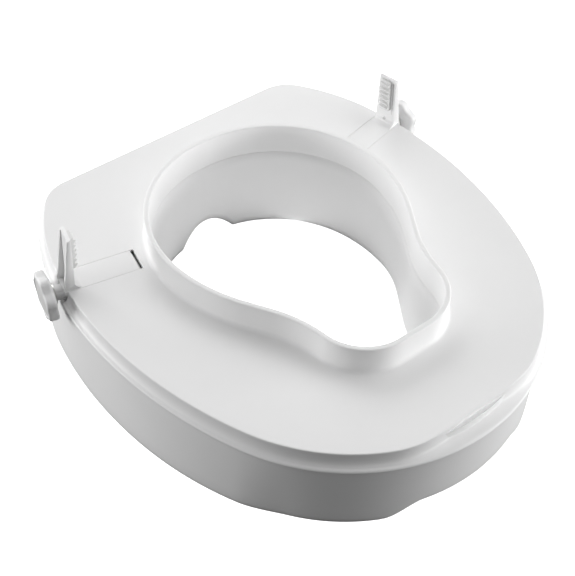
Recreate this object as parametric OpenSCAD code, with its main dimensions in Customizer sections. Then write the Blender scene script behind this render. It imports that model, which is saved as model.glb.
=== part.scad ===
// Raised toilet seat, standing on its sitting surface with the bowl side up.
// +Z points out of the bowl side, -Y is the front, X is across the seat.
// The origin is under the middle of the seat, on the surface that it stands on.

/* [Seat] */
// Width over the lip
seat_w = 378; // [340:1:460]
// Length over the lip
seat_l = 427; // [380:1:515]
// Height from the sitting surface to the face that rests on the bowl
raise_h = 100; // [84:1:130]
// Wall of the sitting shell
shell_wall = 3.5; // [2.5:0.1:5]
// Radius of the long outer edge of the sitting surface
seat_edge_r = 18; // [12:1:28]
// How far the side walls lean out towards the sitting surface
side_lean = 7; // [0:0.5:9]
// How far the inner edge of the sitting surface lies above its crest
dish_h = 5; // [2:0.5:10]
// Extra dish beside the opening, where the thighs rest
thigh_dish_h = 9; // [0:0.5:12]

/* [Recesses in the sitting surface] */
// Depth of the front hygiene recess
front_recess_h = 17; // [5:0.5:26]
// Half width of the flat middle of the front recess
front_recess_flat = 46; // [30:1:56]
// Half width of the front recess where its sides run out
front_recess_half = 76; // [60:1:80]
// Depth of the rear recess
rear_recess_h = 20; // [5:0.5:26]
// Half width of the rear recess
rear_recess_half = 31; // [20:1:45]

/* [Bowl side plate] */
// Thickness of the plate
plate_t = 4; // [3.5:0.1:6]
// Depth of the cove between the plate face and the lip
cove_h = 13; // [10:0.5:16]
// Thickness of the lip at its outer edge
lip_t = 4.5; // [3:0.5:6]
// How far the flat face lies inside the lip
face_inset = 6; // [4:0.5:9]
// Extra inset of the flat face at the front, for the sloping ramp
front_ramp = 9; // [0:0.5:14]
// Half width of the ramp
front_ramp_half = 76; // [50:1:90]
// Height of the seam below the lip
seam_drop = 2.2; // [1.5:0.1:4]

/* [Collar and opening] */
// Widest inside width of the opening
opening_w = 213; // [190:1:230]
// Inside length of the opening
opening_l = 277; // [240:1:300]
// How far the middle of the opening lies behind the middle of the seat
opening_back = 12.5; // [5:0.5:20]
// Height of the collar above the plate face
collar_h = 26; // [15:0.5:35]
// Wall of the collar
collar_wall = 4.7; // [3.5:0.1:6]
// Width of the fillet at the foot of the collar
collar_foot = 3.2; // [2:0.1:5]
// How far the opening flares at the sitting surface
flare = 8; // [4:0.5:10]
// Height over which the opening flares
flare_h = 12; // [6:0.5:18]

/* [Brackets] */
// Angle of each bracket channel across the seat
channel_a = 12; // [0:1:15]
// Distance of the channel centre behind the middle of the seat, at the edge
channel_back = 100; // [80:1:105]
// Width of the channel in the plate
channel_w = 24.4; // [22:0.1:30]
// Length of the bracket's slide
slide_l = 61; // [50:1:64]
// How far the bracket slides in from rest
travel_in = 2.5; // [1:0.5:3]
// How far the bracket slides out from rest
travel_out = 20; // [5:1:24]
// Height of the arm above the plate face
arm_h = 54; // [44:1:70]
// Width of the arm
arm_w = 21.5; // [18:0.1:21.5]
// Number of teeth on the grip pad
teeth = 6; // [3:1:6]
// Pitch of the teeth
tooth_pitch = 5.2; // [4:0.1:6]

/* [Knob and screw] */
// Largest radius of the knob
knob_r = 22; // [18:0.5:24]
// Thickness of the knob
knob_t = 10.5; // [8:0.5:14]
// Number of lobes round the knob
lobes = 7; // [5:1:9]
// Depth of the hollows between the lobes
lobe_h = 2.8; // [1:0.2:4]
// Radius of the clamping screw
screw_r = 3; // [2.5:0.1:3]
// Width across the flats of the nut and of the screw head
nut_af = 10; // [9:0.1:10]
// Thickness of the nut
nut_t = 5; // [4:0.5:6]
// Diameter of the screws that hold the tracks
track_screw_d = 3.8; // [3:0.1:4.2]

/* [Hidden] */
$fn = 48;

// Clearances
slide_gap = 0.3;
slide_lift = 0.2;
turn_gap = 0.05;
hole_gap = 0.1;
face_gap = 0.3;
seam_gap = 0.6;
collar_round = 1;
cut = 1;

// Heights
face_z = raise_h;
lip_z = face_z - cove_h;
lip_low_z = lip_z - lip_t;
plate_low_z = lip_low_z - seam_drop;
shell_top_z = plate_low_z - seam_gap;
duct_top_z = face_z - plate_t - face_gap;
skirt_h = 6;
shell_inset = 4;
skirt_gap = 0.5;
skirt_t = 3;

// Half outlines from the front centre round to the back centre.
// Each leg is [radius, turn], and a leg of radius 0 is a straight, [0, length].
SEAT_LEGS = [[173, 66], [374, 36], [195, 25], [41, 53]];
OPENING_LEGS = [[0, 15], [43, 82], [114.5, -23.5], [0, 25], [145, 25], [104.5, 96.5]];
HALF = 38;

function leg_length(leg) = leg[0] == 0 ? leg[1] : leg[0] * abs(leg[1]) * PI / 180;
function leg_point(leg, d, p, h) = leg[0] == 0
    ? [p.x + d * cos(h), p.y + d * sin(h), h]
    : let (side = sign(leg[1]), r = side * leg[0], t = d / r * 180 / PI)
        [p.x - r * sin(h) + r * sin(h + t), p.y + r * cos(h) - r * cos(h + t), h + t];
function along(legs, d, i = 0, p = [0, 0], h = 0) = let (l = leg_length(legs[i]))
    d <= l || i == len(legs) - 1
        ? leg_point(legs[i], d, p, h)
        : let (e = leg_point(legs[i], l, p, h)) along(legs, d - l, i + 1, [e.x, e.y], e[2]);
function total(legs, i = 0) = i == len(legs) ? 0 : leg_length(legs[i]) + total(legs, i + 1);
function closed(legs) = concat(legs, [[0, along(legs, total(legs)).x]]);
function half_line(legs) = let (all = closed(legs), l = total(all))
    [for (i = [0 : HALF]) along(all, l * i / HALF)];

// Each entry is [x, y, nx, ny]: a point of the outline and its outward normal.
function sized(line, w, l, y0) = let (
        kx = w / 2 / max([for (p = line) p.x]),
        long = line[HALF].y - line[0].y,
        ky = l / long)
    [for (p = line) let (nx = sin(p[2]) / kx, ny = -cos(p[2]) / ky, n = norm([nx, ny]))
        [p.x * kx, (p.y - line[0].y) * ky - l / 2 + y0, nx / n, ny / n]];
function both(half) = concat(half,
    [for (i = [HALF - 1 : -1 : 1]) let (p = half[i]) [-p[0], p[1], -p[2], p[3]]]);

seat_half = sized(half_line(SEAT_LEGS), seat_w, seat_l, 0);
SEAT = both(seat_half);
OPENING = both(sized(half_line(OPENING_LEGS), opening_w, opening_l, opening_back));
N = 2 * HALF;

function ease(t) = let (c = max(0, min(1, t))) c * c * (3 - 2 * c);
function out(p, d) = [p[0] + p[2] * d, p[1] + p[3] * d];
function between(a, b, t) = a + (b - a) * t;

// How far the recesses lift the sitting surface at a place.
function front_lift(p) = p.y > 0 ? 0 : front_recess_h
    * (1 - ease((abs(p.x) - front_recess_flat) / (front_recess_half - front_recess_flat)));
function rear_lift(p, t) = p.y < 0 ? 0 : rear_recess_h * ease(t)
    * max(0, 1 - pow(p.x / rear_recess_half, 2));
function thigh_dish(p) = thigh_dish_h * exp(-pow((p.y + 14) / 45, 2));
function sit_z(p, t) = (dish_h + thigh_dish(p)) * pow(t, 2) + front_lift(p) + rear_lift(p, t);

// Rings of the seat shell. Outer ones are given from the lip, inner ones from the opening.
sit_inset = shell_inset + seat_edge_r;
function lean(p) = side_lean * ease((abs(p[2]) - 0.8) / 0.2);
function wall_ring(d, z, leaning) = [for (p = SEAT) let (q = out(p, leaning * lean(p) - d),
        squash = (shell_top_z - front_lift(q)) / shell_top_z)
    [q.x, q.y, shell_top_z - (shell_top_z - z) * squash]];
function edge_ring(r, a) = wall_ring(sit_inset - r * cos(a), seat_edge_r - r * sin(a), 1);
function sit_ring(t, up) = [for (i = [0 : N - 1])
    let (q = between(out(SEAT[i], lean(SEAT[i]) - sit_inset), out(OPENING[i], flare), t))
    [q.x, q.y, sit_z(q, t) + up]];
function roll_ring(a, d, up) = [for (p = OPENING)
    let (q = out(p, face_gap + d + (flare - face_gap) * (1 - sin(a))))
    [q.x, q.y, sit_z(out(p, flare), 1) + flare_h * (1 - cos(a)) + up]];
function opening_ring(d, z) = [for (p = OPENING) let (q = out(p, d)) [q.x, q.y, z]];

// Rings of the plate. The flat face stops short of the lip, most of all at the front.
function ramp(p) = p.y > 0 ? 0 : front_ramp * (1 - ease(abs(p.x) / front_ramp_half));
function face_ring(d, z) = [for (p = SEAT) let (q = out(p, -face_inset - ramp(p) - d))
    [q.x, q.y, z]];
function lip_ring(d, z) = [for (p = SEAT) let (q = out(p, -d)) [q.x, q.y, z]];

// A closed ring-shaped skin through a list of rings, with the last joined to the first.
module loft(rings) {
    count = len(rings);
    points = [for (r = rings) for (p = r) p];
    faces = [for (k = [0 : count - 1]) for (i = [0 : N - 1])
        let (j = (i + 1) % N, a = k * N, b = (k + 1) % count * N)
        each [[a + i, a + j, b + j], [a + i, b + j, b + i]]];
    polyhedron(points, faces);
}

// Bracket frame: x runs out along the channel from a point just inside the edge,
// y runs across the channel towards the back, and z is 0 at the plate face.
anchor_inset = face_inset + 2;
anchor_x = lookup(channel_back, [for (p = seat_half) [p[1], p[0]]]) - anchor_inset;
module on_side(side) {
    mirror([side < 0 ? 1 : 0, 0, 0])
        translate([anchor_x, channel_back, face_z])
            rotate([0, 0, channel_a])
                children();
}

slide_t = plate_t - slide_lift;
flange_t = 1.7;
flange_out = 2;
rebate_x1 = -3.5;
flange_x1 = rebate_x1 - travel_out - 0.5;
slide_x1 = 3.5;
channel_x0 = -slide_l - travel_in - 0.5;
screw_z = -slide_t - 0.2 - nut_af / 2;
boss_r = 6.5;
boss_x1 = anchor_inset + 1.5;
pocket_r = boss_r + 3.5;
pocket_x0 = -travel_in - 2.5;
ring_t = 0.9;
washer_t = 1.2;
washer_r = pocket_r - 1;
knob_x0 = boss_x1 + face_gap + washer_t;
knob_x1 = knob_x0 + knob_t;
rim_h = 1.4;
cap_t = 0.8;
cap_r = knob_r - lobe_h - 3;
hub_h = 1.2;
head_t = 4;
head_x1 = knob_x1 - rim_h;
nut_x1 = pocket_x0 - 4;
screw_x0 = nut_x1 - nut_t - travel_out - 16;
track_x1 = pocket_x0 - 1;
track_x0 = channel_x0 + 1;
track_h = 13;
track_w = 22;
trough_w = 2 * screw_r + 2.4;
ear_r = 5;
ear_y = track_w / 2 + ear_r;
ear_t = 3;
ear_xs = [track_x1 - 10, track_x0 + 10];
ear_z = -plate_t - track_h;
boss_gap = 0.2;

// A round bar along x, with its centre line at the screw.
module bar(r, x0, x1) {
    translate([x0, 0, screw_z])
        rotate([0, 90, 0])
            cylinder(r = r, h = x1 - x0);
}
// A hexagonal bar along x, with two flats level.
module hex_bar(af, x0, x1) {
    translate([x0, 0, screw_z])
        rotate([0, 90, 0])
            rotate([0, 0, 30])
                cylinder(r = af / 2 / cos(30), h = x1 - x0, $fn = 6);
}
module block(x0, x1, w, z0, z1) {
    translate([x0, -w / 2, z0])
        cube([x1 - x0, w, z1 - z0]);
}
module at_ears() {
    for (x = ear_xs)
        for (y = [-ear_y, ear_y])
            translate([x, y, 0])
                children();
}

module seat_shell() {
    cavity_r = seat_edge_r - shell_wall;
    color("white")
        loft([
            wall_ring(shell_inset, shell_top_z, 0),
            for (a = [0 : 22.5 : 90]) edge_ring(seat_edge_r, a),
            for (t = [0.3, 0.6, 0.85, 1]) sit_ring(t, 0),
            for (a = [30 : 30 : 90]) roll_ring(a, 0, 0),
            opening_ring(face_gap, duct_top_z),
            opening_ring(face_gap + shell_wall, duct_top_z),
            for (a = [90, 45]) roll_ring(a, shell_wall, shell_wall),
            for (t = [0.85, 0.6, 0.3]) sit_ring(t, shell_wall),
            for (a = [90, 45, 0]) edge_ring(cavity_r, a),
            wall_ring(shell_inset + shell_wall, shell_top_z, 0)
        ]);
}

module channel_cut() {
    block(channel_x0, anchor_inset + cut, channel_w, -plate_t - cut, cut);
    block(channel_x0, rebate_x1, channel_w + 2 * flange_out, -plate_t - cut, flange_t - slide_t + slide_lift);
    block(pocket_x0, anchor_inset + cut, 2 * pocket_r, screw_z, cut);
    bar(pocket_r, pocket_x0, anchor_inset + cut);
}

module plate_body() {
    skirt_d = shell_inset + shell_wall + skirt_gap;
    skirt_z = plate_low_z - skirt_h;
    under_z = face_z - plate_t;
    loft([
        face_ring(1, face_z),
        face_ring(0, face_z - 1.2),
        face_ring(-0.6, face_z - cove_h * 0.6),
        face_ring(-1.5, face_z - cove_h * 0.85),
        lip_ring(2.4, lip_z - 0.4),
        lip_ring(0.8, lip_z - 0.9),
        lip_ring(0, lip_z - lip_t * 0.5),
        lip_ring(0.4, lip_z - lip_t * 0.85),
        lip_ring(1.5, lip_low_z),
        lip_ring(shell_inset, lip_low_z),
        lip_ring(shell_inset, plate_low_z),
        lip_ring(skirt_d, plate_low_z),
        lip_ring(skirt_d, skirt_z),
        lip_ring(skirt_d + skirt_t, skirt_z),
        lip_ring(skirt_d + skirt_t, under_z),
        opening_ring(collar_wall + collar_foot + hole_gap, under_z),
        opening_ring(collar_wall + collar_foot + hole_gap, face_z)
    ]);
}
module track_posts() {
    at_ears()
        translate([0, 0, ear_z + ear_t + boss_gap])
            cylinder(r = ear_r - 0.5, h = track_h - ear_t - boss_gap + plate_t / 2);
}
module track_pilots() {
    at_ears()
        translate([0, 0, ear_z])
            cylinder(d = track_screw_d + 2 * turn_gap, h = track_h);
}
module base_plate() {
    color("white")
        difference() {
            union() {
                plate_body();
                on_side(-1) track_posts();
                on_side(1) track_posts();
            }
            on_side(-1) channel_cut();
            on_side(1) channel_cut();
            on_side(-1) track_pilots();
            on_side(1) track_pilots();
        }
}

// The collar fills the plate's opening, and its foot runs out flush with the plate face.
module bowl_collar() {
    top_z = face_z + collar_h;
    under_z = face_z - plate_t;
    color("white")
        loft([
            opening_ring(collar_wall + collar_foot, under_z),
            opening_ring(0, under_z),
            opening_ring(0, top_z - collar_round),
            opening_ring(collar_round, top_z),
            opening_ring(collar_wall - collar_round, top_z),
            opening_ring(collar_wall, top_z - collar_round),
            opening_ring(collar_wall + collar_foot * 0.12, face_z + collar_foot),
            opening_ring(collar_wall + collar_foot * 0.35, face_z + collar_foot * 0.3),
            opening_ring(collar_wall + collar_foot, face_z)
        ]);
}

// The slot that the nut drops into from above, with its lower half shaped to the nut.
module nut_slot() {
    flat = nut_af / 2 + hole_gap;
    corner = flat / cos(30);
    translate([nut_x1 - nut_t - hole_gap, 0, screw_z])
        rotate([90, 0, 90])
            linear_extrude(nut_t + 2 * hole_gap)
                polygon([[-corner / 2, -flat], [corner / 2, -flat], [corner, 0],
                    [corner, -screw_z], [-corner, -screw_z], [-corner, 0]]);
}
module slide_track() {
    color("gainsboro")
        difference() {
            union() {
                block(track_x0, track_x1, track_w, ear_z, -plate_t);
                at_ears()
                    translate([0, 0, ear_z])
                        cylinder(r = ear_r, h = ear_t);
                for (x = ear_xs)
                    block(x - ear_r, x + ear_r, 2 * ear_y, ear_z, ear_z + ear_t);
            }
            block(track_x0 + 4, track_x1 + cut, trough_w, screw_z, 0);
            bar(trough_w / 2, track_x0 + 4, track_x1 + cut);
            nut_slot();
            at_ears()
                translate([0, 0, ear_z - cut])
                    cylinder(d = track_screw_d + 4 * hole_gap, h = ear_t + 2 * cut);
        }
}

module track_screws() {
    head_h = 2.2;
    color("silver")
        at_ears()
            translate([0, 0, ear_z - head_h])
                difference() {
                    union() {
                        cylinder(d = 2 * track_screw_d, h = head_h);
                        cylinder(d = track_screw_d, h = head_h + track_h - 1.5);
                    }
                    for (a = [0, 90])
                        rotate([0, 0, a])
                            translate([-track_screw_d / 2, -0.4, -cut])
                                cube([track_screw_d, 0.8, cut + 1.2]);
                }
}

arm_foot_out = slide_x1;
arm_foot_in = arm_foot_out - 9;
arm_lean = 2.7;
arm_top_t = 3.5;
arm_top_drop = 1.5;
arm_side_t = 2.3;
arm_y0 = -arm_w / 2;
arm_rear_foot = arm_w / 2 - 0.8;
arm_rear_taper = 2.6;
web_t = 3;
foot_r = 7;
hollow_z0 = 1 - slide_t;
pad_seat = 0.8;
pad_proud = 3.3;
tooth_h = 2.4;
pad_z0 = 18;
pad_z1 = pad_z0 + teeth * tooth_pitch + 1.5;
pad_y0 = arm_y0 + 4.65;
pad_y1 = pad_y0 + 10.4;
groove_z0 = 13;
groove_w0 = 0.4;
groove_w1 = 1.2;
foot_hole_r = 1.6;
foot_hole_z = 5;
function arm_in(z) = arm_foot_in - arm_lean * z / arm_h;

// A plate cut from a profile in x and z, spread across the channel from y0 to y1.
module across(y0, y1) {
    translate([0, y1, 0])
        rotate([90, 0, 0])
            linear_extrude(y1 - y0)
                children();
}

// The arm's outline from the side with the teeth, where the rear edge leans forward.
module arm_front(inset, z0, z1) {
    rear_foot = arm_rear_foot - inset;
    translate([arm_foot_in - foot_r, 0, 0])
        rotate([90, 0, 90])
            linear_extrude(3 * foot_r)
                polygon([[arm_y0 + inset, z0], [rear_foot, z0], [rear_foot, 0],
                    [rear_foot - arm_rear_taper * z1 / arm_h, z1], [arm_y0 + inset, z1]]);
}
module arm_solid() {
    top_in = arm_in(arm_h);
    intersection() {
        union() {
            across(-arm_w / 2, arm_w / 2)
                polygon([[arm_foot_in, -slide_t], [arm_foot_in, 0], [top_in, arm_h],
                    [top_in + arm_top_t, arm_h - arm_top_drop], [arm_foot_out, 0],
                    [arm_foot_out, -slide_t]]);
            across(-arm_w / 2, arm_w / 2)
                difference() {
                    translate([arm_foot_in - foot_r, -slide_t / 2])
                        square([foot_r + 1, foot_r + slide_t / 2]);
                    translate([arm_foot_in - foot_r, foot_r])
                        circle(r = foot_r);
                    translate([arm_in(foot_r) + 0.5, 0])
                        square([4, 2 * foot_r]);
                }
        }
        arm_front(0, -slide_t, arm_h);
    }
}
// The hollow is open outwards, at the top and down into the slide.
module arm_hollow() {
    z1 = arm_h + cut;
    intersection() {
        across(-arm_w / 2, arm_w / 2)
            polygon([[arm_foot_in + web_t, hollow_z0], [arm_foot_in + web_t, 0],
                [arm_in(z1) + web_t, z1], [arm_foot_out + cut, z1], [arm_foot_out + cut, hollow_z0]]);
        arm_front(arm_side_t, hollow_z0, z1);
    }
}
module pad_recess() {
    z0 = pad_z0 - hole_gap;
    z1 = pad_z1 + hole_gap;
    across(pad_y0 - hole_gap, pad_y1 + hole_gap)
        polygon([[arm_in(z0) + pad_seat, z0], [arm_in(z1) + pad_seat, z1],
            [arm_in(z1) - 2, z1], [arm_in(z0) - 2, z0]]);
}
// The groove beside the grip pad opens into the hollow and widens towards the top.
module arm_groove() {
    y0 = arm_y0 + arm_side_t;
    translate([arm_in(arm_h) - 2, 0, 0])
        rotate([90, 0, 90])
            linear_extrude(web_t + 5)
                polygon([[y0, groove_z0], [y0 + groove_w0, groove_z0],
                    [y0 + groove_w1, pad_z1 - 1.5], [y0, pad_z1 - 1.5]]);
}

module bracket() {
    slide_w = channel_w - 2 * slide_gap;
    color("white")
        difference() {
            union() {
                difference() {
                    union() {
                        block(-slide_l, slide_x1, slide_w, -slide_t, 0);
                        block(-slide_l, flange_x1, slide_w + 2 * flange_out, -slide_t, flange_t - slide_t);
                        arm_solid();
                    }
                    arm_hollow();
                }
                block(0, slide_x1, 2 * boss_r, screw_z, -0.8);
                bar(boss_r, 0, boss_x1);
            }
            pad_recess();
            arm_groove();
            bar(screw_r + hole_gap, -cut, boss_x1 + cut);
            translate([arm_foot_in - foot_r, 0, foot_hole_z])
                rotate([0, 90, 0])
                    cylinder(r = foot_hole_r, h = foot_r + web_t + 2);
        }
}

module grip_pad() {
    color("white")
        across(pad_y0, pad_y1)
            polygon(concat(
                [[arm_in(pad_z1) + pad_seat, pad_z1], [arm_in(pad_z0) + pad_seat, pad_z0]],
                [[arm_in(pad_z0) - pad_proud, pad_z0]],
                [for (k = [0 : teeth - 1]) let (z = pad_z0 + 1 + k * tooth_pitch,
                        root = arm_in(z) - pad_proud)
                    each [[root, z], [root - tooth_h, z + tooth_pitch * 0.6],
                        [root, z + tooth_pitch * 0.8]]],
                [[arm_in(pad_z1) - pad_proud, pad_z1]]));
}

// The rim is a ring of smooth lobes.
function lobe_radius(a) = knob_r - lobe_h * (1 - cos(lobes * a)) / 2;
module lobe_outline() {
    steps = lobes * 12;
    polygon([for (i = [0 : steps - 1]) let (a = 360 * i / steps)
        lobe_radius(a) * [cos(a), sin(a)]]);
}
module knob() {
    color("white")
        difference() {
            union() {
                translate([knob_x0 + hub_h, 0, screw_z])
                    rotate([90, 0, 90])
                        linear_extrude(knob_t - hub_h)
                            lobe_outline();
                bar(washer_r, knob_x0, knob_x0 + 2 * hub_h);
            }
            bar(cap_r + hole_gap, head_x1, knob_x1 + cut);
            hex_bar(nut_af + 2 * hole_gap, head_x1 - head_t, head_x1 + cut);
            bar(screw_r + turn_gap, knob_x0 - cut, head_x1);
        }
}
module knob_cap() {
    color("white")
        bar(cap_r, head_x1, head_x1 + cap_t);
}
module clamp_screw() {
    color("silver")
        union() {
            hex_bar(nut_af, head_x1 - head_t, head_x1 - hole_gap);
            bar(screw_r, screw_x0, head_x1 - hole_gap);
        }
}
module clamp_nut() {
    color("silver")
        difference() {
            hex_bar(nut_af, nut_x1 - nut_t, nut_x1);
            bar(screw_r + turn_gap, nut_x1 - nut_t - cut, nut_x1 + cut);
        }
}
module washer() {
    color("silver")
        difference() {
            bar(washer_r, boss_x1 + face_gap, knob_x0);
            bar(screw_r + hole_gap, boss_x1, knob_x0 + cut);
        }
}
module retaining_ring() {
    color("dimgray")
        difference() {
            bar(screw_r + 2, -face_gap - ring_t, -face_gap);
            bar(screw_r + turn_gap, -face_gap - ring_t - cut, cut);
        }
}

seat_shell();
base_plate();
bowl_collar();
on_side(-1) slide_track();  // left_slide_track
on_side(1) slide_track();  // right_slide_track
on_side(-1) track_screws();  // left_track_screws
on_side(1) track_screws();  // right_track_screws
on_side(-1) bracket();  // left_bracket
on_side(1) bracket();  // right_bracket
on_side(-1) grip_pad();  // left_grip_pad
on_side(1) grip_pad();  // right_grip_pad
on_side(-1) knob();  // left_knob
on_side(1) knob();  // right_knob
on_side(-1) knob_cap();  // left_knob_cap
on_side(1) knob_cap();  // right_knob_cap
on_side(-1) clamp_screw();  // left_clamp_screw
on_side(1) clamp_screw();  // right_clamp_screw
on_side(-1) clamp_nut();  // left_clamp_nut
on_side(1) clamp_nut();  // right_clamp_nut
on_side(-1) washer();  // left_washer
on_side(1) washer();  // right_washer
on_side(-1) retaining_ring();  // left_retaining_ring
on_side(1) retaining_ring();  // right_retaining_ring
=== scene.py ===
import math

import bmesh
import bpy
from mathutils import Matrix, Vector


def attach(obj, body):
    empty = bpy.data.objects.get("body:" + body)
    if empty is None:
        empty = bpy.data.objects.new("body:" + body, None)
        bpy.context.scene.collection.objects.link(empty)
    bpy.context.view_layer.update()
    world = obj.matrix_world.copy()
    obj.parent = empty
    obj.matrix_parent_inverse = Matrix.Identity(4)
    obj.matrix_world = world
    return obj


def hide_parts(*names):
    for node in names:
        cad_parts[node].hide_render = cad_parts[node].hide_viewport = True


MM = 0.001
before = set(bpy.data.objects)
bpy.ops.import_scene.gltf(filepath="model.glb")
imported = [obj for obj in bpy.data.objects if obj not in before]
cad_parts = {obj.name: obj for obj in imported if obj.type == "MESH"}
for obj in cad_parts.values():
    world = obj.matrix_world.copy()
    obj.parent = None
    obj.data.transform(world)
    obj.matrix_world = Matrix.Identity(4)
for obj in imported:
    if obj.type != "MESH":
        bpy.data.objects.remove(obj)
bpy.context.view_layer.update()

# ---------------------------------------------------------------- sizes, in mm

RIM_WIDTH, RIM_LENGTH = 378, 427
MOUTH_WIDTH, MOUTH_LENGTH, MOUTH_BACK = 213, 277, 12.5
FACE_Z = 100
WALL_TOP = 79.7
SHELL_INSET = 4
SHELL_WALL = 3.5
EDGE_R = 18
ROLL_INSET = 8
SIDE_LEAN = 7
FRONT_RECESS_HEIGHT, FRONT_RECESS_FLAT, FRONT_RECESS_RUN = 17, 46, 30
REAR_RECESS_HEIGHT, REAR_RECESS_HALF = 20, 31
BRACKET_OUT, BRACKET_BACK, BRACKET_TURN = 176.452, 100, 12
CHANNEL_W = 24.4
SCREW_Z = -9
KNOB_R, KNOB_LOBES, KNOB_LOBE_DEPTH = 22, 7, 2.8
CAP_R, CAP_BACK, CAP_FRONT = 16.2, 20.1, 20.9

# ---------------------------------------------------------------- outlines

# Each leg is (radius, turn in degrees), and a leg of radius 0 is a straight, (0, length).
RIM_LEGS = [(173, 66), (374, 36), (195, 25), (41, 53)]
MOUTH_LEGS = [(0, 15), (43, 82), (114.5, -23.5), (0, 25), (145, 25), (104.5, 96.5)]
HALF_STEPS = 144


def leg_length(leg):
    radius, turn = leg
    return turn if radius == 0 else radius * math.radians(abs(turn))


def leg_point(leg, distance, x, y, heading):
    radius, turn = leg
    if radius == 0:
        return x + distance * math.cos(heading), y + distance * math.sin(heading), heading
    r = math.copysign(radius, turn)
    turned = heading + distance / r
    return (
        x - r * math.sin(heading) + r * math.sin(turned),
        y + r * math.cos(heading) - r * math.cos(turned),
        turned,
    )


def walk(legs, distance):
    """The place and heading after walking that far from the front centre."""
    place = (0.0, 0.0, 0.0)
    for leg in legs[:-1]:
        length = leg_length(leg)
        if distance <= length:
            return leg_point(leg, distance, *place)
        place = leg_point(leg, length, *place)
        distance -= length
    return leg_point(legs[-1], distance, *place)


def outline(legs, width, length, back):
    """(place, outward direction) all the way round, in mm, for a half outline and its mirror."""
    whole = sum(leg_length(leg) for leg in legs)
    legs = legs + [(0, walk(legs, whole)[0])]
    whole = sum(leg_length(leg) for leg in legs)
    half = [walk(legs, whole * i / HALF_STEPS) for i in range(HALF_STEPS + 1)]
    sx = width / 2 / max(x for x, y, h in half)
    sy = length / half[-1][1]
    right = []
    for x, y, h in half:
        out = Vector((math.sin(h) / sx, -math.cos(h) / sy)).normalized()
        right.append((Vector((x * sx, y * sy - length / 2 + back)), out))
    left = [(Vector((-p.x, p.y)), Vector((-n.x, n.y))) for p, n in right[-2:0:-1]]
    return right + left


RIM = outline(RIM_LEGS, RIM_WIDTH, RIM_LENGTH, 0)
MOUTH = outline(MOUTH_LEGS, MOUTH_WIDTH, MOUTH_LENGTH, MOUTH_BACK)


def ease(t):
    t = max(0.0, min(1.0, t))
    return t * t * (3 - 2 * t)


def front_lift(x, y):
    if y > 0:
        return 0.0
    return FRONT_RECESS_HEIGHT * (1 - ease((abs(x) - FRONT_RECESS_FLAT) / FRONT_RECESS_RUN))


def rear_lift(x, y, t):
    if y < 0:
        return 0.0
    return REAR_RECESS_HEIGHT * ease(t) * max(0.0, 1 - (x / REAR_RECESS_HALF) ** 2)


def sit_height(x, y, t):
    """How high the sitting surface lies at a place, t of the way in from its outer edge."""
    thigh = 9 * math.exp(-(((y + 14) / 45) ** 2))
    return (5 + thigh) * t * t + front_lift(x, y) + rear_lift(x, y, t)


# ---------------------------------------------------------------- skins


def mouth_line(out, z):
    """A ring that follows the opening, out mm outside it, at height z."""
    return [Vector((*(p + n * out), z)) for p, n in MOUTH]


def rim_line(inset, z):
    return [Vector((*(p - n * inset), z)) for p, n in RIM]


def face_line(inset, z):
    """A ring of the flat face, which stops further inside the lip at the front."""
    ring = []
    for p, n in RIM:
        ramp = 0.0 if p.y > 0 else 9 * (1 - ease(abs(p.x) / 76))
        ring.append(Vector((*(p - n * (6 + ramp + inset)), z)))
    return ring


def lean(n):
    """How far the side walls lean out at their foot, from the way that the wall faces."""
    return SIDE_LEAN * ease((abs(n.x) - 0.8) / 0.2)


def wall_line(inset, z, leaning):
    """A ring of the outer wall, squeezed upwards over the front recess."""
    ring = []
    for p, n in RIM:
        q = p + n * (leaning * lean(n) - inset)
        squeeze = (WALL_TOP - front_lift(q.x, q.y)) / WALL_TOP
        ring.append(Vector((q.x, q.y, WALL_TOP - (WALL_TOP - z) * squeeze)))
    return ring


def edge_line(radius, degrees):
    """A ring of the rounded outer edge, round the same centre line at any radius."""
    a = math.radians(degrees)
    return wall_line(SHELL_INSET + EDGE_R - radius * math.cos(a), EDGE_R - radius * math.sin(a), 1)


def sit_line(t, up):
    """A ring of the sitting surface, t of the way in, raised by up."""
    ring = []
    for (p, n), (q, m) in zip(RIM, MOUTH):
        place = (p + n * (lean(n) - SHELL_INSET - EDGE_R)).lerp(q + m * ROLL_INSET, t)
        ring.append(Vector((place.x, place.y, sit_height(place.x, place.y, t) + up)))
    return ring


def roll_line(degrees, wall, up):
    """A ring of the rolled edge where the sitting surface turns up into the opening."""
    a = math.radians(degrees)
    ring = []
    for q, m in MOUTH:
        place = q + m * (0.3 + wall + 7.7 * (1 - math.sin(a)))
        low = q + m * ROLL_INSET
        z = sit_height(low.x, low.y, 1) + 12 * (1 - math.cos(a)) + up
        ring.append(Vector((place.x, place.y, z)))
    return ring


def curve_through(rings, steps):
    """More rings on a smooth curve through these."""
    out = []
    last = len(rings) - 1
    for k in range(last):
        before, a, b, after = rings[max(k - 1, 0)], rings[k], rings[k + 1], rings[min(k + 2, last)]
        for s in range(steps):
            t = s / steps
            t2, t3 = t * t, t * t * t
            out.append(
                [
                    0.5
                    * (
                        2 * q1
                        + (q2 - q0) * t
                        + (2 * q0 - 5 * q1 + 4 * q2 - q3) * t2
                        + (3 * q1 - q0 - 3 * q2 + q3) * t3
                    )
                    for q0, q1, q2, q3 in zip(before, a, b, after)
                ]
            )
    out.append(rings[-1])
    return out


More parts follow.
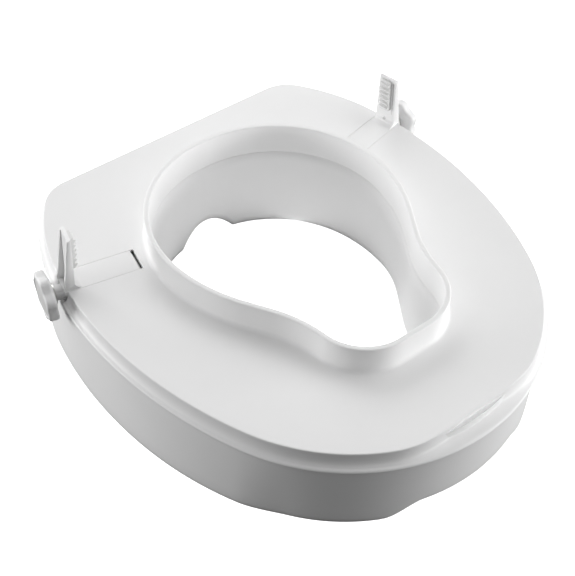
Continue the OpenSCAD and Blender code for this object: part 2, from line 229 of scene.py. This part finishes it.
def ring_skin(bm, rings):
    """A closed skin drawn through rings, one extrusion after another, and bridged shut."""
    made = bmesh.ops.create_circle(bm, cap_ends=False, segments=len(rings[0]), radius=1)["verts"]
    first_edges = list({e for v in made for e in v.link_edges})
    for v, place in zip(made, rings[0]):
        v.co = place * MM
    verts, edges = made, first_edges
    for ring in rings[1:]:
        grown = bmesh.ops.extrude_edge_only(bm, edges=edges)["geom"]
        new_edges = [
            e for e in grown if isinstance(e, bmesh.types.BMEdge) and len(e.link_faces) == 1
        ]
        upper = set(v for e in new_edges for v in e.verts)
        moved = []
        for v, place in zip(verts, ring):
            over = next(e.other_vert(v) for e in v.link_edges if e.other_vert(v) in upper)
            over.co = place * MM
            moved.append(over)
        verts, edges = moved, new_edges
    bmesh.ops.bridge_loops(bm, edges=first_edges + edges)
    bmesh.ops.recalc_face_normals(bm, faces=bm.faces[:])


# ---------------------------------------------------------------- finishes


def plastic(name, shade, roughness, grain, grain_size, mottle=0.02):
    """Moulded plastic: a fine grain, slow waves from cooling, and faint changes of tone and gloss."""
    mat = bpy.data.materials.new(name)
    mat.use_nodes = True
    nodes, links = mat.node_tree.nodes, mat.node_tree.links
    shader = nodes["Principled BSDF"]
    shader.inputs["IOR"].default_value = 1.5
    shader.inputs["Specular IOR Level"].default_value = 0.3
    place = nodes.new("ShaderNodeTexCoord").outputs["Object"]

    def noise(scale, detail):
        node = nodes.new("ShaderNodeTexNoise")
        node.inputs["Scale"].default_value = scale
        node.inputs["Detail"].default_value = detail
        links.new(place, node.inputs["Vector"])
        return node.outputs["Fac"]

    tone = nodes.new("ShaderNodeValToRGB")
    tone.color_ramp.elements[0].position = 0.3
    tone.color_ramp.elements[1].position = 0.7
    tone.color_ramp.elements[0].color = (*[c * (1 - mottle) for c in shade], 1)
    tone.color_ramp.elements[1].color = (*shade, 1)
    links.new(noise(14, 3), tone.inputs["Fac"])
    links.new(tone.outputs["Color"], shader.inputs["Base Color"])

    gloss = nodes.new("ShaderNodeMapRange")
    gloss.inputs["To Min"].default_value = roughness - 0.06
    gloss.inputs["To Max"].default_value = roughness + 0.06
    links.new(noise(60, 4), gloss.inputs["Value"])
    links.new(gloss.outputs["Result"], shader.inputs["Roughness"])

    fine = nodes.new("ShaderNodeBump")
    fine.inputs["Strength"].default_value = grain
    fine.inputs["Distance"].default_value = 0.00006
    links.new(noise(grain_size, 2), fine.inputs["Height"])
    slow = nodes.new("ShaderNodeBump")
    slow.inputs["Strength"].default_value = 0.12
    slow.inputs["Distance"].default_value = 0.0004
    links.new(noise(22, 1), slow.inputs["Height"])
    links.new(slow.outputs["Normal"], fine.inputs["Normal"])
    links.new(fine.outputs["Normal"], shader.inputs["Normal"])
    return mat


def metal(name, shade, roughness, scratch):
    """Plated steel with fine drawn lines along X."""
    mat = bpy.data.materials.new(name)
    mat.use_nodes = True
    nodes, links = mat.node_tree.nodes, mat.node_tree.links
    shader = nodes["Principled BSDF"]
    shader.inputs["Metallic"].default_value = 1.0
    shader.inputs["Base Color"].default_value = (*shade, 1)
    place = nodes.new("ShaderNodeTexCoord").outputs["Object"]
    drawn = nodes.new("ShaderNodeMapping")
    drawn.inputs["Scale"].default_value = (30, 900, 900)
    links.new(place, drawn.inputs["Vector"])
    lines = nodes.new("ShaderNodeTexNoise")
    lines.inputs["Scale"].default_value = 1.0
    lines.inputs["Detail"].default_value = 3
    links.new(drawn.outputs["Vector"], lines.inputs["Vector"])
    gloss = nodes.new("ShaderNodeMapRange")
    gloss.inputs["To Min"].default_value = roughness - 0.08
    gloss.inputs["To Max"].default_value = roughness + 0.1
    links.new(lines.outputs["Fac"], gloss.inputs["Value"])
    links.new(gloss.outputs["Result"], shader.inputs["Roughness"])
    bump = nodes.new("ShaderNodeBump")
    bump.inputs["Strength"].default_value = scratch
    bump.inputs["Distance"].default_value = 0.00003
    links.new(lines.outputs["Fac"], bump.inputs["Height"])
    links.new(bump.outputs["Normal"], shader.inputs["Normal"])
    return mat


shell_white = plastic("shell_white", (0.87, 0.87, 0.87), 0.46, 0.18, 2200)
plate_white = plastic("plate_white", (0.87, 0.87, 0.87), 0.5, 0.18, 2400)
bracket_white = plastic("bracket_white", (0.85, 0.85, 0.85), 0.48, 0.25, 2200)
grip_white = plastic("grip_white", (0.74, 0.74, 0.735), 0.62, 0.6, 1400)
knob_white = plastic("knob_white", (0.85, 0.85, 0.85), 0.44, 0.22, 2200)
cap_white = plastic("cap_white", (0.74, 0.74, 0.735), 0.42, 0.3, 1100)
track_grey = plastic("track_grey", (0.62, 0.62, 0.61), 0.5, 0.4, 900)
zinc = metal("zinc", (0.66, 0.66, 0.64), 0.34, 0.3)
dark_spring = metal("dark_spring", (0.18, 0.18, 0.18), 0.42, 0.4)


# ---------------------------------------------------------------- pieces


def piece(name, bm, finish, body, slot, *nodes, sharp=32):
    mesh = bpy.data.meshes.new(name)
    bm.to_mesh(mesh)
    bm.free()
    obj = bpy.data.objects.new(name, mesh)
    bpy.context.scene.collection.objects.link(obj)
    mesh.materials.append(finish)
    mesh.shade_smooth()
    mesh.set_sharp_from_angle(angle=math.radians(sharp))
    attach(obj, body)
    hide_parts(*nodes)
    return obj


def sitting_shell():
    wall_height = WALL_TOP - EDGE_R
    rings = [wall_line(4.9, WALL_TOP, 0), wall_line(4.35, 79.6, 0), wall_line(4.05, 79.2, 0)]
    rings += [
        wall_line(SHELL_INSET, WALL_TOP - wall_height * t, t) for t in (0.02, 0.1, 0.25, 0.4, 0.55, 0.7, 0.85)
    ]
    rings += [edge_line(EDGE_R, a) for a in range(0, 91, 6)]
    rings += [
        sit_line(t, 0) for t in (0.08, 0.16, 0.25, 0.35, 0.45, 0.55, 0.65, 0.75, 0.84, 0.92, 1)
    ]
    rings += [roll_line(a, 0, 0) for a in range(9, 91, 9)]
    rings += [mouth_line(0.3, z) for z in (40, 55, 70, 85, 95.2)]
    rings += [mouth_line(0.8, 95.7), mouth_line(3.8, 95.7)]
    rings += [roll_line(a, SHELL_WALL, SHELL_WALL) for a in (90, 60, 30)]
    rings += [sit_line(t, SHELL_WALL) for t in (0.85, 0.6, 0.3)]
    rings += [edge_line(EDGE_R - SHELL_WALL, a) for a in (90, 60, 30, 0)]
    rings += [wall_line(SHELL_INSET + SHELL_WALL, WALL_TOP, 0)]
    bm = bmesh.new()
    ring_skin(bm, rings)
    return piece("sitting_shell", bm, shell_white, "seat", "shell", "seat_shell", sharp=50)


def side_frame(side):
    """The bracket frame of a side: X runs out along the channel, Y to the back, and Z is 0 at the face."""
    origin = Matrix.Translation((BRACKET_OUT * MM, BRACKET_BACK * MM, FACE_Z * MM))
    place = origin @ Matrix.Rotation(math.radians(BRACKET_TURN), 4, "Z")
    return place if side == "right" else Matrix.Scale(-1, 4, (1, 0, 0)) @ place


def add_block(bm, x0, x1, width, z0, z1, frame_matrix):
    """A block from x0 to x1 and z0 to z1, with its width along Y."""
    centre = Matrix.Translation(Vector(((x0 + x1) / 2, 0, (z0 + z1) / 2)) * MM)
    size = Matrix.Diagonal(((x1 - x0) * MM, width * MM, (z1 - z0) * MM, 1))
    bmesh.ops.create_cube(bm, size=1, matrix=frame_matrix @ centre @ size)


def add_bar(bm, radius, x0, x1, z, frame_matrix, sides=64):
    """A round bar along X."""
    centre = Matrix.Translation(Vector(((x0 + x1) / 2, 0, z)) * MM)
    lay = centre @ Matrix.Rotation(math.pi / 2, 4, "Y")
    bmesh.ops.create_cone(
        bm, cap_ends=True, segments=sides, radius1=radius * MM, radius2=radius * MM,
        depth=(x1 - x0) * MM, matrix=frame_matrix @ lay,
    )


def carve(bm, shapes):
    """Cuts closed shapes out of a mesh, one after another."""
    body = bpy.data.objects.new("carved", bpy.data.meshes.new("carved"))
    bm.to_mesh(body.data)
    bpy.context.scene.collection.objects.link(body)
    tools = []
    for shape in shapes:
        bmesh.ops.recalc_face_normals(shape, faces=shape.faces[:])
        tool = bpy.data.objects.new("cutter", bpy.data.meshes.new("cutter"))
        shape.to_mesh(tool.data)
        shape.free()
        bpy.context.scene.collection.objects.link(tool)
        cut = body.modifiers.new("cut", "BOOLEAN")
        cut.operation = "DIFFERENCE"
        cut.solver = "EXACT"
        cut.object = tool
        tools.append(tool)
    bpy.context.view_layer.update()
    done = body.evaluated_get(bpy.context.evaluated_depsgraph_get())
    bm.clear()
    bm.from_mesh(done.to_mesh())
    for obj in [body] + tools:
        bpy.data.objects.remove(obj, do_unlink=True)


def channel_shapes():
    """What the channels cut out, with no two end faces in one plane."""
    shapes = []
    for side in ("left", "right"):
        place = side_frame(side)
        bm = bmesh.new()
        add_block(bm, -64, 9, CHANNEL_W, -5, 1, place)
        shapes.append(bm)
        bm = bmesh.new()
        add_block(bm, -63.98, -3.5, CHANNEL_W + 4, -5.2, -1.9, place)
        shapes.append(bm)
        bm = bmesh.new()
        add_block(bm, -5, 9.3, 19.98, -9, 1.2, place)
        shapes.append(bm)
        bm = bmesh.new()
        add_bar(bm, 10, -4.99, 9.6, SCREW_Z, place)
        shapes.append(bm)
    return shapes


def bowl_side_moulding():
    rings = [mouth_line(0.4, 96), mouth_line(0, 96.4), mouth_line(0, 97.4)]
    rings += [mouth_line(0, z) for z in (104, 112, 120, 124.4)]
    for a in range(0, 91, 22):
        s, c = math.sin(math.radians(a)), math.cos(math.radians(a))
        rings.append(mouth_line(1.1 - 1.1 * c, 124.9 + 1.1 * s))
    for a in range(90, -1, -22):
        s, c = math.sin(math.radians(a)), math.cos(math.radians(a))
        rings.append(mouth_line(3.6 + 1.1 * c, 124.9 + 1.1 * s))
    rings += [mouth_line(4.7, z) for z in (124.4, 120, 112, 104.2)]
    for a in range(90, -1, -15):
        s, c = math.sin(math.radians(a)), math.cos(math.radians(a))
        rings.append(mouth_line(7.9 - 3.2 * s, 103.2 - 3.2 * c))
    rings += [mouth_line(8.6, 100), mouth_line(10, 100), face_line(2.4, 100), face_line(1.5, 100)]
    for a in (90, 65, 40, 15):
        s, c = math.sin(math.radians(a)), math.cos(math.radians(a))
        rings.append(face_line(1 - c, 99 + s))
    cove = [
        face_line(0, 98.6), face_line(-0.25, 95.4), face_line(-0.7, 91.8), face_line(-1.7, 88.9),
        rim_line(2.4, 86.75),
    ]
    rings += curve_through(cove, 4)
    rings += [rim_line(1.6, 86.55), rim_line(0.9, 86.2), rim_line(0.35, 85.6), rim_line(0.05, 84.9)]
    rings += [rim_line(0, 84.2), rim_line(0.15, 83.5), rim_line(0.5, 82.95), rim_line(1.0, 82.6)]
    rings += [rim_line(1.6, 82.5), rim_line(3.7, 82.5), rim_line(4, 82.2), rim_line(4, 80.4)]
    rings += [rim_line(4.1, 80.3), rim_line(8, 80.3), rim_line(8, 74.3), rim_line(11, 74.3)]
    rings += [rim_line(11, 96)]
    bm = bmesh.new()
    ring_skin(bm, rings)
    carve(bm, channel_shapes())
    bmesh.ops.remove_doubles(bm, verts=bm.verts[:], dist=1e-6)
    return piece(
        "bowl_side_moulding", bm, plate_white, "seat", "plate", "base_plate", "bowl_collar", sharp=50
    )


def from_node(node):
    """A merged copy of a CAD node's mesh with its flat faces whole again."""
    bm = bmesh.new()
    bm.from_mesh(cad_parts[node].data)
    bmesh.ops.remove_doubles(bm, verts=bm.verts[:], dist=2e-6)
    bmesh.ops.dissolve_limit(
        bm, angle_limit=math.radians(0.6), verts=bm.verts[:], edges=bm.edges[:]
    )
    return bm


def soften(bm, width, segments, sharpest=0.6, shortest=2.0):
    """Rounds the long sharp edges by width mm."""
    edges = [
        e for e in bm.edges
        if e.is_manifold and e.calc_face_angle() > sharpest and e.calc_length() > shortest * MM
    ]
    bmesh.ops.bevel(
        bm, geom=edges, offset=width * MM, offset_type="OFFSET", segments=segments, profile=0.5,
        affect="EDGES", clamp_overlap=True, material=-1, loop_slide=True,
    )


def bracket(side):
    bm = from_node(side + "_bracket")
    soften(bm, 0.4, 2)
    body = side + "_bracket"
    return piece(side + "_slide_bracket", bm, bracket_white, body, "bracket", body)


def grip(side):
    bm = from_node(side + "_grip_pad")
    soften(bm, 0.25, 2, shortest=1.0)
    name, node = side + "_toothed_grip", side + "_grip_pad"
    return piece(name, bm, grip_white, side + "_bracket", "grip", node)


def lobed_ring(inset, x, count=252):
    """A ring of the knob's lobed outline, inset mm inside it, at x along the screw."""
    ring = []
    for i in range(count):
        a = 2 * math.pi * i / count
        r = KNOB_R - KNOB_LOBE_DEPTH * (1 - math.cos(KNOB_LOBES * a)) / 2 - inset
        ring.append(Vector((x, r * math.cos(a), SCREW_Z + r * math.sin(a))))
    return ring


def round_ring(r, x, count=252):
    ring = []
    for i in range(count):
        a = 2 * math.pi * i / count
        ring.append(Vector((x, r * math.cos(a), SCREW_Z + r * math.sin(a))))
    return ring


def quarter(steps):
    """(sine, cosine) pairs over a quarter turn."""
    return [
        (math.sin(math.pi / 2 * k / steps), math.cos(math.pi / 2 * k / steps)) for k in range(steps + 1)
    ]


def knob(side):
    rings = [round_ring(3.05, 11), round_ring(8.7, 11), round_ring(9, 11.3), round_ring(9, 12.4)]
    rings += [round_ring(9.4, 12.5), lobed_ring(3, 12.5), lobed_ring(2.6, 12.5)]
    rings += [lobed_ring(2.4 - 2.4 * s, 14.9 - 2.4 * c) for s, c in quarter(6)]
    rings += [lobed_ring(0, x) for x in (15.6, 17.2, 18.8)]
    rings += [lobed_ring(2 - 2 * c, 19.5 + 2 * s) for s, c in quarter(6)]
    rings += [round_ring(17.1, 21.45), round_ring(16.6, 21.3), round_ring(16.35, 21)]
    rings += [round_ring(16.3, CAP_BACK), round_ring(5.9, CAP_BACK)]
    rings += [round_ring(5.9, 16.1), round_ring(3.05, 16.1)]
    bm = bmesh.new()
    ring_skin(bm, rings)
    bmesh.ops.transform(bm, matrix=side_frame(side), verts=bm.verts[:])
    bmesh.ops.recalc_face_normals(bm, faces=bm.faces[:])
    return piece(side + "_lobed_knob", bm, knob_white, side + "_knob", "knob", side + "_knob")


def cap(side):
    bm = bmesh.new()
    add_bar(bm, CAP_R, CAP_BACK, CAP_FRONT, SCREW_Z, Matrix.Identity(4), sides=126)
    rim = [e for e in bm.edges if all(abs(v.co.x - CAP_FRONT * MM) < 1e-6 for v in e.verts)]
    bmesh.ops.bevel(
        bm, geom=rim, offset=0.35 * MM, offset_type="OFFSET", segments=3, profile=0.5,
        affect="EDGES", clamp_overlap=True, material=-1,
    )
    bmesh.ops.transform(bm, matrix=side_frame(side), verts=bm.verts[:])
    bmesh.ops.recalc_face_normals(bm, faces=bm.faces[:])
    return piece(side + "_face_cap", bm, cap_white, side + "_knob", "cap", side + "_knob_cap")


sitting_shell()
bowl_side_moulding()
for side in ("left", "right"):
    bracket(side)
    grip(side)
    knob(side)
    cap(side)
    for node, finish in (
        ("slide_track", track_grey), ("track_screws", zinc), ("clamp_screw", zinc),
        ("clamp_nut", zinc), ("washer", zinc), ("retaining_ring", dark_spring),
    ):
        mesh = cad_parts[side + "_" + node].data
        mesh.materials.clear()
        mesh.materials.append(finish)

# ---------------------------------------------------------------- floor, lights and camera


def add_floor():
    bm = bmesh.new()
    bmesh.ops.create_grid(bm, x_segments=1, y_segments=1, size=60)
    mesh = bpy.data.meshes.new("floor")
    bm.to_mesh(mesh)
    bm.free()
    floor = bpy.data.objects.new("floor", mesh)
    bpy.context.scene.collection.objects.link(floor)
    floor.location.z = -0.0004
    floor.visible_diffuse = False
    floor.visible_glossy = False
    mat = bpy.data.materials.new("floor_white")
    mat.use_nodes = True
    shader = mat.node_tree.nodes["Principled BSDF"]
    shader.inputs["Base Color"].default_value = (0.9, 0.9, 0.9, 1)
    shader.inputs["Roughness"].default_value = 0.9
    shader.inputs["Emission Color"].default_value = (1, 1, 1, 1)
    shader.inputs["Emission Strength"].default_value = 1.2
    mesh.materials.append(mat)


def soft_box(name, place, size, power, aim=(0, 0, 0.06)):
    light = bpy.data.lights.new(name, "AREA")
    light.shape = "RECTANGLE"
    light.size, light.size_y = size
    light.energy = power
    obj = bpy.data.objects.new(name, light)
    obj.location = place
    obj.visible_camera = False
    obj.rotation_euler = (Vector(aim) - Vector(place)).to_track_quat("-Z", "Y").to_euler()
    bpy.context.scene.collection.objects.link(obj)


def add_room():
    """A room whose light comes from its walls and ceiling only."""
    world = bpy.data.worlds.new("room")
    bpy.context.scene.world = world
    world.use_nodes = True
    nodes, links = world.node_tree.nodes, world.node_tree.links
    place = nodes.new("ShaderNodeTexCoord")
    split = nodes.new("ShaderNodeSeparateXYZ")
    height = nodes.new("ShaderNodeMapRange")
    links.new(place.outputs["Generated"], split.inputs["Vector"])
    links.new(split.outputs["Z"], height.inputs["Value"])
    height.inputs["From Min"].default_value = -0.05
    height.inputs["From Max"].default_value = 0.15
    height.inputs["To Max"].default_value = 0.35
    links.new(height.outputs["Result"], nodes["Background"].inputs["Color"])


def add_camera():
    turn, rise, roll = (math.radians(d) for d in (-39.341, 46.802, 1.533))
    back = Vector((math.sin(turn) * math.cos(rise), -math.cos(turn) * math.cos(rise), math.sin(rise)))
    right = Vector((math.cos(turn), math.sin(turn), 0))
    up = back.cross(right)
    right, up = (
        right * math.cos(roll) + up * math.sin(roll),
        up * math.cos(roll) - right * math.sin(roll),
    )
    data = bpy.data.cameras.new("camera")
    data.sensor_width = 36
    data.lens = 71.95
    camera = bpy.data.objects.new("camera", data)
    facing = Matrix((right, up, back)).transposed().to_4x4()
    camera.matrix_world = Matrix.Translation((-0.4440, -0.5140, 0.7864)) @ facing
    bpy.context.scene.collection.objects.link(camera)
    bpy.context.scene.camera = camera


add_floor()
soft_box("low_right_box", (1.0, -0.9, 0.25), (0.8, 0.4), 14.5)
soft_box("low_left_box", (-1.1, 0.85, 0.25), (0.8, 0.4), 12)
soft_box("back_box", (0.2, 1.1, 1.1), (1.4, 0.9), 10.5)
soft_box("right_box", (0.9, -0.3, 1.3), (1.0, 1.0), 5)
soft_box("opening_card", (0, 0.012, 0.003), (0.17, 0.22), 0.13, aim=(0, 0.012, 1))
add_room()
bpy.context.scene.view_settings.view_transform = "Standard"
add_camera()
